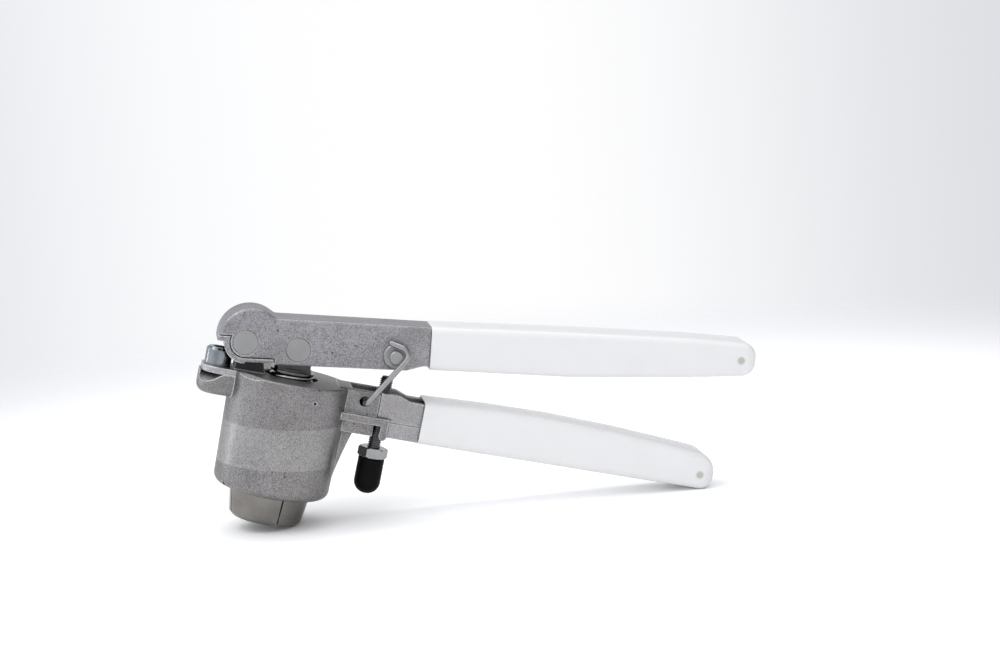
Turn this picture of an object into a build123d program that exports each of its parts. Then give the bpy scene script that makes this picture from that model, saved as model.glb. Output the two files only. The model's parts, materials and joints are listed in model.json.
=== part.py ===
"""Hand vial crimper with a four-jaw collet head, a latched lever and an adjustable stop.

All lengths are in millimetres and all angles in degrees. The tool is drawn with the head's
axis along Z and the jaw mouth at Z = 0, and then laid down on the jaw rim and the heel of
the lower grip, the way it rests on a table.
"""
from build123d import *
from math import asin, atan2, cos, degrees, hypot, radians, sin, sqrt, tan
import os

# Head casting
HEAD_R_TOP = 22.0
HEAD_R_BOTTOM = 21.0
HEAD_Z0 = 10.9
HEAD_Z1 = 53.2
HEAD_BOTTOM_ROUND = 3.4
HEAD_TOP_ROUND = 0.9
COLLET_BORE_R = 15.2
HEAD_WALL = 3.5
FLANGE_ROOF_Z = 16.4
CAVITY_TOP_Z = 37.6
BUSH_BORE_R = 9.9
FACET_DEG = -136.0
FACET_DEPTH = 1.3

# Front lug and the bracket that carries the lever
LUG_TIP_X = -33.2
LUG_Z0 = 42.7
LUG_Z1 = 50.6
LUG_W = 16.6
LUG_ROUND = 2.8
LUG_NOSE_R = 6.5
PLATE_T = 2.2
PLATE_TIP_X = -32.6
PLATE_BACK_X = -9.6
CHEEK_GAP = 0.15
TONGUE_X0 = -21.2
TONGUE_X1 = -9.8
TONGUE_EYE_R = 5.4
SEAT_GAP = 0.05
CLAMP_R = 3.175
CLAMP_X = -27.0
CLAMP_HEAD_R = 4.76
CLAMP_HEAD_H = 6.35
CLAMP_SOCKET_AF = 4.76
CLAMP_LENGTH = 10.0

# Lever: its own frame starts at the fulcrum pin and runs along the lever
FULCRUM_X = -19.0
FULCRUM_Z = 63.45
PIN_OFFSET_Z = 0.55
LEVER_REST_DEG = 7.3
LEVER_CLOSE_DEG = 4.6
LEVER_W = 16.8
LEVER_WALL = 2.8
LEVER_TOP = 9.2
TOP_DROP = 0.5
LEVER_BOTTOM = -7.45
HUMP_X = 2.0
HUMP_Z = 0.35
HUMP_R = 12.0
HUMP_BLEND_R = 3.0
LEVER_EDGE_ROUND = 1.5
NOTCH_TOP_Z = 2.45
NOTCH_R = 5.3
NOTCH_END_X = 10.7
LIP_T = 1.9
GROOVE_W = 0.45
GROOVE_DEPTH = 1.0
NECK_X = 58.0
NECK_RUN = 6.0
GRIP_START = 66.3
GRIP_END = 188.0
UPPER_SWELL_X = 52.0
UPPER_TAPER_X = 24.0
STEP_BOTTOM = 1.8
PIN_HEAD_R = 4.4
DRIVE_PIN_HEAD_R = 4.3
PIN_HEAD_T = 2.2
PIN_R = 3.2
PIN_PROUD = 0.1
PIN_RING_GAP = 0.12
RUN_FIT = 0.05

# Latch pin and wire latch
LATCH_PIN_L = (53.8, -2.41)
LATCH_PIN_R = 2.6
LATCH_PIN_OUT = 13.2
LATCH_SHOULDER_R = 4.5
LATCH_SHOULDER_T = 1.2
LATCH_TAIL_R = 2.2
LATCH_TAIL_IN = 3.5
WIRE_R = 0.85
LATCH_HOLE_X = 26.9
LATCH_HOLE_Z = 49.75
LATCH_SINK_R = 1.85
LATCH_SHANK_Y = 14.3
LATCH_INNER_Y = 3.2
LATCH_BEND_R = 1.4
LATCH_OPEN_DEG = 125.0

# Rear bracket of the casting
BRACKET_W = 16.4
BRACKET_WALL = 2.6
BRACKET_END_X = 32.3
BRACKET_TOP_Z = 53.5
BRACKET_EDGE_ROUND = 0.7
RIB_Z0 = 42.1
RIB_Z1 = 44.8
RIB_PROUD = 1.9
RIB_EDGE_ROUND = 0.5
RIB_END_X = 36.8
LEG_T = 2.7
LEG_Z0 = 37.0
WEB_W = 14.4
WEB_Z0 = 37.5
WEB_END_X = 31.9
BOSS_W = 11.2
BOSS_Z0 = 42.0
BOSS_Z1 = 48.6
BOSS_X0 = 27.0
BOSS_X1 = 39.2
GUSSET_W = 8.0
GUSSET_FOOT_X = 25.6
GUSSET_END_Z = 19.0

# Lower handle and grips
HANDLE_W = 16.4
HANDLE_WALL = 2.6
HANDLE_TOP_Z = 53.7
HANDLE_STEP_X = 39.2
HANDLE_STEP_RUN = 4.4
HANDLE_STEP = 1.6
HANDLE_BOTTOM_Z = 38.05
SEAM_GAP = 0.25
CREASE_Z = 43.5
CREASE_H = 0.35
CREASE_DEPTH = 0.25
LOWER_GRIP_X = 48.6
LOWER_GRIP_END = 160.5
LOWER_TOP_START_Z = 53.3
LOWER_TOP_MID = (95.0, 54.9)
LOWER_TOP_END = (149.0, 52.5)
LOWER_BOTTOM_START_Z = 37.7
LOWER_BOTTOM_END_Z = 39.1
END_TOP_ROUND = 6.5
END_HEEL_ROUND = 5.0
GRIP_W = 19.8
GRIP_WALL = 1.4
GRIP_EDGE_ROUND = 2.6
DRAIN_R = 1.6

# Adjusting screw under the lever
STOP_X = 34.3
STOP_TIP_Z = 59.0
STOP_END_Z = 19.0
STOP_R = 2.4
STOP_TIP_CHAMFER = 0.8
STOP_PAD_GAP = 0.05
STOP_PAD_HALF = 4.5
NUT_AF = 9.53
NUT_T = 3.6
NUT_Z0 = 28.9
CAP_R = 4.8
CAP_BOTTOM_Z = 15.2
CAP_GAP = 0.3

# Plunger, cone, pad and spring
ROD_R = 6.0
ROD_BOTTOM_Z = 36.4
SHOULDER_R = 6.8
SHOULDER_Z = 55.4
SHOULDER_T = 0.9
TANG_PLAY = 0.1
TANG_L = 11.6
TANG_EYE_R = 5.7
BUSH_Z1 = 50.0
BUSH_FLOOR_Z = 45.0
BUSH_POCKET_R = 8.95
SPRING_R = 7.25
SPRING_WIRE_R = 0.8
SPRING_TURNS = 4
SEAT_T = 0.8
SEAT_R = 7.9
CONE_DEG = 18.9
CONE_TOP_R = 10.6
CONE_TOP_Z = 36.4
CONE_BOTTOM_Z = 29.5
PAD_R = 9.7
PAD_Z0 = 7.6
PAD_T = 3.4
PAD_STEM_R = 4.5
PAD_SCREW_R = 2.0
PAD_SCREW_DEPTH = 8.0
PAD_SCREW_HEAD_R = 3.5
PAD_SCREW_HEAD_H = 2.0
BUSH_PIN_R = 0.6
BUSH_PIN_Z = 47.8
BUSH_PIN_DEG = -67.7

# Collet jaws
JAW_COUNT = 4
JAW_CLOCK_DEG = 17.0
JAW_SLIT = 0.6
JAW_R_TOP = 14.75
JAW_R_LOW = 13.2
JAW_LIP_CHAMFER = 1.2
JAW_MOUTH_R = 10.4
JAW_MOUTH_L = 2.2
JAW_CAVITY_R = 10.9
JAW_FLANGE_GAP = 0.5
JAW_FLANGE_Z0 = 13.7
JAW_FLANGE_T = 2.5
JAW_TAIL_R = 13.4
JAW_TAIL_Z1 = 34.5
JAW_CONTACT_L = 3.0
CONE_GAP = 0.32
JAW_CLOSE_DEG = 1.5
GARTER_Z = 26.0
GARTER_WIRE_R = 0.8
GARTER_GAP = 0.42
RETAINER_T = 2.6
RETAINER_BORE_R = 15.1
SET_SCREW_R = 0.9


def face_at(points):
    """Closed flat face in the XZ plane from corner points."""
    return make_face(Plane.XZ * Polyline(*points, close=True))


def across(profile, width):
    """Solid of a side-view profile, centred on the tool's mid-plane."""
    return extrude(profile, amount=width / 2, dir=(0, 1, 0), both=True)


def rect_xz(x0, x1, z0, z1):
    """Side-view rectangle."""
    return face_at([(x0, z0), (x1, z0), (x1, z1), (x0, z1)])


def disc_xz(x, z, r):
    """Side-view disc."""
    return Plane.XZ * Pos(x, z) * Circle(r)


def pin_y(x, z, r, y0, y1):
    """Round pin along Y."""
    return Pos(x, (y0 + y1) / 2, z) * Rot(90, 0, 0) * Cylinder(r, y1 - y0)


def post(x, y, r, z0, z1):
    """Round post along Z."""
    return Pos(x, y, (z0 + z1) / 2) * Cylinder(r, z1 - z0)


def turned(points):
    """Solid of revolution about the head's axis from radius and height pairs."""
    return revolve(face_at(points), Axis.Z)


def one(shape):
    """The single solid of a shape."""
    return shape.solid()


def lever_place():
    """Place of the lever's own frame in the tool."""
    return Pos(FULCRUM_X, 0, FULCRUM_Z) * Rot(0, -LEVER_REST_DEG, 0)


def lever_point(x, z):
    """Tool coordinates of a point of the lever's frame."""
    a = radians(LEVER_REST_DEG)
    return (FULCRUM_X + x * cos(a) - z * sin(a), FULCRUM_Z + x * sin(a) + z * cos(a))


def drive_pin_place():
    """Drive pin on the head's axis, as a point of the tool."""
    return (0.0, FULCRUM_Z + PIN_OFFSET_Z)


def in_lever(x, z, angle):
    """Lever-frame coordinates of a tool point, with the lever at an angle."""
    a = radians(angle)
    dx = x - FULCRUM_X
    dz = z - FULCRUM_Z
    return (dx * cos(a) + dz * sin(a), -dx * sin(a) + dz * cos(a))


PLATE_Z1 = LUG_Z1 + PLATE_T
FLANGE_BORE_R = HEAD_R_BOTTOM - HEAD_WALL
JAW_FLANGE_R = FLANGE_BORE_R - JAW_FLANGE_GAP
TONGUE_W = LEVER_W - 2 * LEVER_WALL - 2 * CHEEK_GAP
TANG_T = TONGUE_W - 2 * TANG_PLAY
HEEL_X = LOWER_GRIP_END - END_HEEL_ROUND
HEEL_Z = LOWER_BOTTOM_END_Z + END_HEEL_ROUND
RIM_R = JAW_R_LOW - JAW_LIP_CHAMFER
REST_TILT_DEG = degrees(
    atan2(HEEL_Z, HEEL_X - RIM_R) - asin(END_HEEL_ROUND / hypot(HEEL_X - RIM_R, HEEL_Z))
)


def head_radius(z):
    """Outer radius of the tapered head at a height."""
    return HEAD_R_BOTTOM + (HEAD_R_TOP - HEAD_R_BOTTOM) * (z - HEAD_Z0) / (HEAD_Z1 - HEAD_Z0)


def head_body():
    """Turned body of the head with its bores."""
    outer = turned([
        (0, HEAD_Z0), (HEAD_R_BOTTOM, HEAD_Z0), (HEAD_R_TOP, HEAD_Z1), (0, HEAD_Z1)])
    low = outer.edges().group_by(Axis.Z)[0].filter_by(GeomType.CIRCLE)
    outer = fillet(low, HEAD_BOTTOM_ROUND)
    top = outer.edges().group_by(Axis.Z)[-1].filter_by(GeomType.CIRCLE)
    return fillet(top, HEAD_TOP_ROUND)


def head_bores():
    """Everything that is bored out of the head along its axis."""
    flange = post(0, 0, FLANGE_BORE_R, HEAD_Z0 - 1, FLANGE_ROOF_Z)
    collet = post(0, 0, COLLET_BORE_R, HEAD_Z0 - 1, CAVITY_TOP_Z)
    bush = post(0, 0, BUSH_BORE_R, CAVITY_TOP_Z - 1, HEAD_Z1 + 1)
    return flange + collet + bush


def front_lug():
    """Lug in front of the head, with a round nose and its lower edge rounded."""
    lug = Pos((LUG_TIP_X + CLAMP_X) / 2 + 6, 0, (LUG_Z0 + LUG_Z1) / 2) * Box(
        (CLAMP_X - LUG_TIP_X) + 12, LUG_W, LUG_Z1 - LUG_Z0)
    lug = fillet(lug.edges().filter_by(Axis.Z).group_by(Axis.X)[0], LUG_NOSE_R)
    low = [e for e in lug.edges().group_by(Axis.Z)[0] if e.center().X < CLAMP_X + 5.9]
    return fillet(low, LUG_ROUND)


def rear_bracket():
    """Walls, rib, web and screw boss behind the head."""
    walls = Pos((BRACKET_END_X + HEAD_R_BOTTOM - 4) / 2, 0, (RIB_Z0 + BRACKET_TOP_Z) / 2) * Box(
        BRACKET_END_X - HEAD_R_BOTTOM + 4, BRACKET_W, BRACKET_TOP_Z - RIB_Z0)
    slot_len = BRACKET_END_X - HEAD_R_TOP
    walls -= Pos(HEAD_R_TOP + slot_len / 2, 0, RIB_Z1 + 10) * Box(
        slot_len, BRACKET_W - 2 * BRACKET_WALL, 20)
    rims = walls.edges().filter_by(Axis.X).group_by(Axis.Z)[-1]
    walls = fillet([e for e in rims if abs(e.center().Y) > BRACKET_W / 2 - 0.1], BRACKET_EDGE_ROUND)
    rib = Pos((RIB_END_X + HEAD_R_BOTTOM - 4) / 2, 0, (RIB_Z0 + RIB_Z1) / 2) * Box(
        RIB_END_X - HEAD_R_BOTTOM + 4, BRACKET_W + 2 * RIB_PROUD, RIB_Z1 - RIB_Z0)
    web = Pos((WEB_END_X + HEAD_R_BOTTOM - 4) / 2, 0, (WEB_Z0 + RIB_Z0) / 2) * Box(
        WEB_END_X - HEAD_R_BOTTOM + 4, WEB_W, RIB_Z0 - WEB_Z0)
    boss = Pos((BOSS_X0 + BOSS_X1) / 2, 0, (BOSS_Z0 + BOSS_Z1) / 2) * Box(
        BOSS_X1 - BOSS_X0, BOSS_W, BOSS_Z1 - BOSS_Z0)
    body = walls + web + boss + rib
    fork = Pos((BRACKET_END_X + RIB_END_X + 2) / 2, 0, RIB_Z1 - 10) * Box(
        RIB_END_X + 2 - BRACKET_END_X, BRACKET_W, 30)
    inner = Pos((BRACKET_END_X + BOSS_X1) / 2, 0, (BOSS_Z0 + BOSS_Z1) / 2) * Box(
        BOSS_X1 - BRACKET_END_X, BOSS_W, BOSS_Z1 - BOSS_Z0)
    body = body - fork + inner
    for side in (-1, 1):
        y = side * (BRACKET_W + RIB_PROUD) / 2
        leg = Pos(RIB_END_X - LEG_T / 2, y, (LEG_Z0 + RIB_Z1) / 2) * Box(
            LEG_T, RIB_PROUD, RIB_Z1 - LEG_Z0)
        foot = leg.edges().filter_by(Axis.Y).group_by(Axis.Z)[0]
        arm = fillet(foot, LEG_T / 2 - 0.1)
        arm += Pos((BRACKET_END_X + RIB_END_X) / 2 - 2, y, (RIB_Z0 + RIB_Z1) / 2) * Box(
            RIB_END_X - BRACKET_END_X + 4, RIB_PROUD, RIB_Z1 - RIB_Z0)
        body += arm
    return body


def gusset():
    """Curved rib from the bracket's web down to the head's side."""
    edge = ThreePointArc(
        (GUSSET_FOOT_X, WEB_Z0 + 1),
        ((GUSSET_FOOT_X + HEAD_R_BOTTOM) / 2 - 0.6, (WEB_Z0 + GUSSET_END_Z) / 2),
        (HEAD_R_BOTTOM - 0.3, GUSSET_END_Z))
    back = Polyline(
        (HEAD_R_BOTTOM - 0.3, GUSSET_END_Z), (HEAD_R_BOTTOM - 3, GUSSET_END_Z),
        (HEAD_R_BOTTOM - 3, WEB_Z0 + 1), (GUSSET_FOOT_X, WEB_Z0 + 1))
    return across(make_face(Plane.XZ * Curve([edge, back])), GUSSET_W)


def head_casting():
    """Head, front lug and rear bracket in one casting."""
    body = head_body() + front_lug() + rear_bracket() + gusset()
    body -= head_bores()
    body -= Pos(-HEAD_R_TOP, 0, LUG_Z1 + 5) * Box(
        2 * (HEAD_R_TOP + PLATE_BACK_X), LUG_W + 2 * SEAT_GAP, 10)
    body -= post(CLAMP_X, 0, CLAMP_R, PLATE_Z1 - CLAMP_LENGTH, LUG_Z1 + 1)
    body -= post(STOP_X, 0, STOP_R, BOSS_Z0 - 1, BOSS_Z1 + 1)
    hole_out = -BRACKET_W / 2 - 1
    body -= pin_y(LATCH_HOLE_X, LATCH_HOLE_Z, LATCH_SINK_R, hole_out, -BRACKET_W / 4)
    body -= bush_pin_rod(HEAD_R_TOP + 1)
    body -= set_screw_ring(HEAD_R_TOP + 1)
    rim = Pos(HEAD_R_TOP - FACET_DEPTH, 0, HEAD_Z1) * Rot(0, 45, 0) * Pos(0, 0, 10) * Box(40, 40, 20)
    return one(body - Rot(0, 0, FACET_DEG) * rim)


def bush_pin_rod(outer_r):
    """Radial pin through the head's wall into the guide bush."""
    inner_r = BUSH_POCKET_R + 0.05
    rod = Pos((inner_r + outer_r) / 2, 0, BUSH_PIN_Z) * Rot(0, 90, 0) * Cylinder(
        BUSH_PIN_R, outer_r - inner_r)
    return Rot(0, 0, BUSH_PIN_DEG) * rod


def set_screw_ring(outer_r):
    """Three radial screws that hold the jaw retainer."""
    z = HEAD_Z0 + RETAINER_T / 2 + 0.1
    inner_r = FLANGE_BORE_R - 1.0
    rod = Pos((inner_r + outer_r) / 2, 0, z) * Rot(0, 90, 0) * Cylinder(
        SET_SCREW_R, outer_r - inner_r)
    screws = []
    for angle in (90, 210, 330):
        screws.append(Rot(0, 0, angle) * rod)
    return Compound(children=screws)


def fulcrum_bracket():
    """Plate on the lug with the upright tongue that carries the fulcrum pin."""
    plate = Pos((PLATE_TIP_X + PLATE_BACK_X) / 2, 0, (LUG_Z1 + PLATE_Z1) / 2) * Box(
        PLATE_BACK_X - PLATE_TIP_X, LUG_W, PLATE_T)
    tip = plate.edges().filter_by(Axis.Z).group_by(Axis.X)[0]
    plate = fillet(tip, LUG_NOSE_R)
    lean = asin(TONGUE_EYE_R / hypot(TONGUE_X1 - FULCRUM_X, FULCRUM_Z - PLATE_Z1))
    rise = atan2(FULCRUM_Z - PLATE_Z1, FULCRUM_X - TONGUE_X1) - lean
    reach = sqrt(hypot(TONGUE_X1 - FULCRUM_X, FULCRUM_Z - PLATE_Z1) ** 2 - TONGUE_EYE_R ** 2)
    touch = (TONGUE_X1 + reach * cos(rise), PLATE_Z1 + reach * sin(rise))
    side = face_at([
        (TONGUE_X0, PLATE_Z1 - 0.5), (TONGUE_X1, PLATE_Z1 - 0.5), (TONGUE_X1, PLATE_Z1), touch,
        (FULCRUM_X, FULCRUM_Z), (TONGUE_X0, FULCRUM_Z)])
    side += disc_xz(FULCRUM_X, FULCRUM_Z, TONGUE_EYE_R)
    body = plate + across(side, TONGUE_W)
    body -= pin_y(FULCRUM_X, FULCRUM_Z, PIN_R + RUN_FIT, -TONGUE_W, TONGUE_W)
    body -= post(CLAMP_X, 0, CLAMP_R + 0.3, LUG_Z1 - 1, PLATE_Z1 + 1)
    return one(body)


def socket_screw(r, head_r, head_h, af, length, socket_depth):
    """Socket cap screw with its head's seat at the origin and the shank below."""
    head = post(0, 0, head_r, 0, head_h)
    head = chamfer(head.edges().group_by(Axis.Z)[-1], head_h / 8)
    hexagon = extrude(Pos(0, 0, head_h) * RegularPolygon(af / 2, 6, major_radius=False),
                      amount=-socket_depth)
    return one(head - hexagon + post(0, 0, r, -length, 0.1))


def bracket_screw():
    """Cap screw that clamps the bracket to the lug."""
    screw = socket_screw(CLAMP_R, CLAMP_HEAD_R, CLAMP_HEAD_H, CLAMP_SOCKET_AF, CLAMP_LENGTH, CLAMP_HEAD_H / 2)
    return Pos(CLAMP_X, 0, PLATE_Z1) * screw


def hump_profile(offset_in):
    """Side outline of the lever's hump and beam, moved in by an offset."""
    end_x = GRIP_END - GRIP_WALL - offset_in
    top = LEVER_TOP - offset_in
    drop = TOP_DROP * (end_x - HUMP_X) / (GRIP_START - HUMP_X)
    hump = disc_xz(HUMP_X, HUMP_Z, HUMP_R - offset_in)
    beam = face_at([(HUMP_X, HUMP_Z), (end_x, HUMP_Z), (end_x, top - drop), (HUMP_X, top)])
    return hump + beam


def main_outline():
    """Lever outline inside the notch line, without the lip."""
    body = hump_profile(0)
    body -= rect_xz(HUMP_X - 2 * HUMP_R, 0, -2 * HUMP_R, NOTCH_TOP_Z)
    body -= rect_xz(0, NOTCH_END_X, -2 * HUMP_R, -NOTCH_R)
    body += disc_xz(0, 0, NOTCH_R)
    body += rect_xz(0, NOTCH_END_X + 1, -NOTCH_R, NOTCH_TOP_Z + 1)
    body += rect_xz(NOTCH_END_X, NECK_X, LEVER_BOTTOM, NOTCH_TOP_Z + 1)
    body += face_at([
        (NECK_X - 1, LEVER_BOTTOM), (NECK_X, LEVER_BOTTOM),
        (NECK_X + NECK_RUN, LEVER_BOTTOM + STEP_BOTTOM),
        (GRIP_END - GRIP_WALL, LEVER_BOTTOM + STEP_BOTTOM),
        (GRIP_END - GRIP_WALL, NOTCH_TOP_Z + 1), (NECK_X - 1, NOTCH_TOP_Z + 1)])
    return body


def lever_outline():
    """Whole side outline of the lever, with the lip below the notch line."""
    reach = NOTCH_R + GROOVE_W + LIP_T
    lip = disc_xz(0, 0, reach)
    lip -= rect_xz(0, 2 * reach, -2 * reach, 2 * reach)
    lip -= rect_xz(-2 * reach, 0, NOTCH_TOP_Z, 2 * reach)
    lip += rect_xz(-0.1, NOTCH_END_X + 0.1, LEVER_BOTTOM + 0.4, NOTCH_TOP_Z)
    nose = disc_xz(HUMP_X, HUMP_Z, HUMP_R)
    nose -= rect_xz(-2 * HUMP_R, 2 * HUMP_R, -2 * HUMP_R, NOTCH_TOP_Z - GROOVE_W - LIP_T)
    nose -= rect_xz(0, 2 * HUMP_R, -2 * HUMP_R, 2 * HUMP_R)
    return main_outline() + lip + nose


def lip_groove():
    """Narrow band that follows the notch line on the lever's sides."""
    outline = main_outline()
    band = offset(outline, GROOVE_W, kind=Kind.INTERSECTION) - outline
    window = rect_xz(-2 * HUMP_R, NOTCH_END_X, -2 * HUMP_R, NOTCH_TOP_Z)
    return band & window


def stop_pad_z():
    """Underside of the stop pad, so that the closed lever just meets the screw's tip."""
    flat_r = STOP_R - STOP_TIP_CHAMFER
    closed = LEVER_REST_DEG - LEVER_CLOSE_DEG
    return in_lever(STOP_X - flat_r, STOP_TIP_Z, closed)[1] + STOP_PAD_GAP


def upper_sleeve(inset):
    """Side face of the upper grip's outer shape, moved in by an inset."""
    top = LEVER_TOP + 0.25 - inset
    low = LEVER_BOTTOM + 0.5 + inset
    end = GRIP_END - inset
    swell = GRIP_START + UPPER_SWELL_X
    taper = end - UPPER_TAPER_X
    body = face_at([
        (GRIP_START, low), (swell, low - 0.2), (taper, low + 1.9), (end, low + 3.6),
        (end, top - 1.0), (taper, top), (swell, top), (GRIP_START, top - 0.5)])
    corners = body.vertices().group_by(Axis.X)[-1]
    return fillet(corners, 4.6 - inset)


def lower_sleeve(inset):
    """Side face of the lower grip's outer shape, moved in by an inset."""
    end = LOWER_GRIP_END - inset
    start_top = (LOWER_GRIP_X, LOWER_TOP_START_Z - inset)
    mid_top = (LOWER_TOP_MID[0], LOWER_TOP_MID[1] - inset)
    end_top = (LOWER_TOP_END[0], LOWER_TOP_END[1] - inset)
    arc = ThreePointArc(start_top, mid_top, end_top)
    drop = (LOWER_TOP_MID[1] - LOWER_TOP_END[1]) / (LOWER_TOP_END[0] - LOWER_TOP_MID[0])
    corner_z = end_top[1] - 2.2 * drop * (end - end_top[0])
    rest = Polyline(
        end_top, (end, corner_z), (end, LOWER_BOTTOM_END_Z + inset),
        (LOWER_GRIP_X, LOWER_BOTTOM_START_Z + inset), start_top)
    body = make_face(Plane.XZ * Curve([arc, rest]))
    far = body.vertices().group_by(Axis.X)[-1].sort_by(Axis.Z)
    body = fillet(far[0], END_HEEL_ROUND - inset)
    far = body.vertices().sort_by(lambda v: v.X + v.Z)[-1]
    return fillet(far, END_TOP_ROUND - inset)


def long_edges(body, width, start_x):
    """Outline edges on both side faces, without the open end."""
    picked = []
    for edge in body.edges():
        box = edge.bounding_box()
        flat = box.max.Y - box.min.Y < 1e-6 and abs(abs(box.max.Y) - width / 2) < 1e-6
        if flat and box.max.X > start_x + 1e-3:
            picked.append(edge)
    return picked


def sleeve(outer_face, inner_solid, start_x):
    """Soft sleeve over a handle, with rounded long edges."""
    body = across(outer_face, GRIP_W)
    body = fillet(long_edges(body, GRIP_W, start_x), GRIP_EDGE_ROUND)
    return one(body - inner_solid)


def handle_core(face, width, start_x):
    """Metal that fills a sleeve, with rounded long edges."""
    body = across(face, width)
    return fillet(long_edges(body, width, start_x), LEVER_EDGE_ROUND)


def lever_front():
    """Outside of the lever up to the grip, with its upper edges rounded."""
    face = lever_outline()
    face &= rect_xz(-2 * HUMP_R, GRIP_START, -4 * HUMP_R, 4 * HUMP_R)
    blend = [v for v in face.vertices() if v.Z > LEVER_TOP - TOP_DROP and 1 < v.X < GRIP_START - 1]
    face = fillet(blend, HUMP_BLEND_R)
    body = across(face, LEVER_W)
    top = []
    for edge in long_edges(body, LEVER_W, -4 * HUMP_R):
        box = edge.bounding_box()
        if box.min.Z > -1 and box.min.X < GRIP_START - 1 and box.max.Z > LEVER_TOP - 1:
            top.append(edge)
    return fillet(top, LEVER_EDGE_ROUND)


def lever():
    """Upper handle: channel with hump, lip, stop pad and the part inside the grip."""
    core = handle_core(upper_sleeve(GRIP_WALL), LEVER_W, GRIP_START)
    body = lever_front() + core
    hollow = hump_profile(LEVER_WALL)
    hollow += rect_xz(HUMP_X - HUMP_R + LEVER_WALL, GRIP_START, -3 * HUMP_R, HUMP_Z)
    hollow += rect_xz(GRIP_START - 1, GRIP_END - 12, -3 * HUMP_R, LEVER_TOP - LEVER_WALL)
    hollow -= rect_xz(GRIP_END - 12, GRIP_END, -3 * HUMP_R, 3 * HUMP_R)
    body -= across(hollow, LEVER_W - 2 * LEVER_WALL)
    x_stop = in_lever(STOP_X, STOP_TIP_Z, LEVER_REST_DEG - LEVER_CLOSE_DEG)[0]
    pad = rect_xz(x_stop - STOP_PAD_HALF, x_stop + STOP_PAD_HALF, stop_pad_z(), LEVER_TOP - 1)
    body += across(pad, LEVER_W - 1)
    for side in (-1, 1):
        y = side * (LEVER_W / 2 - GROOVE_DEPTH / 2)
        groove = across(lip_groove(), GROOVE_DEPTH + 0.2)
        body -= Pos(0, y + side * 0.1, 0) * groove
    drive = in_lever(*drive_pin_place(), LEVER_REST_DEG)
    body -= flush_pin(0, 0, PIN_HEAD_R + PIN_RING_GAP, LEVER_W)
    body -= flush_pin(drive[0], drive[1], DRIVE_PIN_HEAD_R + PIN_RING_GAP, LEVER_W)
    body -= pin_y(*LATCH_PIN_L, LATCH_TAIL_R, -LEVER_W, -LATCH_TAIL_IN)
    return lever_place() * one(body)


def upper_grip():
    """Soft sleeve on the lever."""
    core = handle_core(upper_sleeve(GRIP_WALL), LEVER_W, GRIP_START)
    body = sleeve(upper_sleeve(0), core, GRIP_START)
    return lever_place() * body


def flush_pin(x, z, head_r, width):
    """Rivet through both cheeks, its two heads let into their outer faces."""
    half = width / 2 + PIN_PROUD
    body = pin_y(x, z, PIN_R, -half, half)
    for side in (-1, 1):
        ends = sorted((side * half, side * (width / 2 - PIN_HEAD_T)))
        body += pin_y(x, z, head_r, *ends)
    return one(body)


def fulcrum_pin():
    """Rivet through the lever's cheeks and the bracket's tongue."""
    return flush_pin(FULCRUM_X, FULCRUM_Z, PIN_HEAD_R, LEVER_W)


def drive_pin():
    """Rivet through the lever's cheeks and the plunger's tang."""
    return flush_pin(*drive_pin_place(), DRIVE_PIN_HEAD_R, LEVER_W)


def latch_pin():
    """Shouldered pin on the lever's near side."""
    x, z = lever_point(*LATCH_PIN_L)
    face = -LEVER_W / 2
    shoulder = pin_y(x, z, LATCH_SHOULDER_R, face - LATCH_SHOULDER_T, face)
    shoulder = chamfer(shoulder.edges().group_by(Axis.Y)[0], LATCH_SHOULDER_T / 3)
    pin = pin_y(x, z, LATCH_PIN_R, -LATCH_PIN_OUT, face)
    pin = chamfer(pin.edges().group_by(Axis.Y)[0], LATCH_SHOULDER_T / 3)
    return one(shoulder + pin + pin_y(x, z, LATCH_TAIL_R, face - 0.1, -LATCH_TAIL_IN))


def latch_hook():
    """Wire latch: a leg in the bracket's hole, a shank and a hooked end over the pin."""
    px, pz = lever_point(*LATCH_PIN_L)
    path = FilletPolyline(
        (LATCH_HOLE_X, -LATCH_INNER_Y, LATCH_HOLE_Z),
        (LATCH_HOLE_X, -LATCH_SHANK_Y, LATCH_HOLE_Z),
        (px + 4.3, -LATCH_SHANK_Y, pz + 1.3),
        (px + 2.2, -LATCH_PIN_OUT - 0.3, pz + 3.9),
        (px - 3.4, -LATCH_PIN_OUT + 1.4, pz + 4.9),
        radius=[LATCH_BEND_R, LATCH_BEND_R, LATCH_BEND_R / 1.4])
    start = Plane(origin=path @ 0, z_dir=path % 0)
    return one(sweep(start * Circle(WIRE_R), path=path))


def lower_handle():
    """Open-topped channel that is fixed in the rear bracket."""
    step_z = HANDLE_TOP_Z - HANDLE_STEP
    front = face_at([
        (BRACKET_END_X + SEAM_GAP, RIB_Z1 + SEAT_GAP), (BRACKET_END_X + SEAM_GAP, HANDLE_TOP_Z),
        (HANDLE_STEP_X, HANDLE_TOP_Z), (HANDLE_STEP_X + HANDLE_STEP_RUN, step_z),
        (LOWER_GRIP_X, step_z), (LOWER_GRIP_X, HANDLE_BOTTOM_Z),
        (RIB_END_X + SEAT_GAP, HANDLE_BOTTOM_Z), (RIB_END_X + SEAT_GAP, RIB_Z1 + SEAT_GAP)])
    core = handle_core(lower_sleeve(GRIP_WALL), HANDLE_W, LOWER_GRIP_X)
    body = across(front, HANDLE_W) + core
    floor_z = HANDLE_BOTTOM_Z + HANDLE_WALL
    hollow = rect_xz(BRACKET_END_X - 1, LOWER_GRIP_END - 12, floor_z, HEAD_Z1 + 20)
    body -= across(hollow, HANDLE_W - 2 * HANDLE_WALL)
    crease = rect_xz(RIB_END_X, LOWER_GRIP_X, CREASE_Z, CREASE_Z + CREASE_H)
    for side in (-1, 1):
        body -= Pos(0, side * HANDLE_W / 2, 0) * across(crease, 2 * CREASE_DEPTH)
    return one(body)


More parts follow.
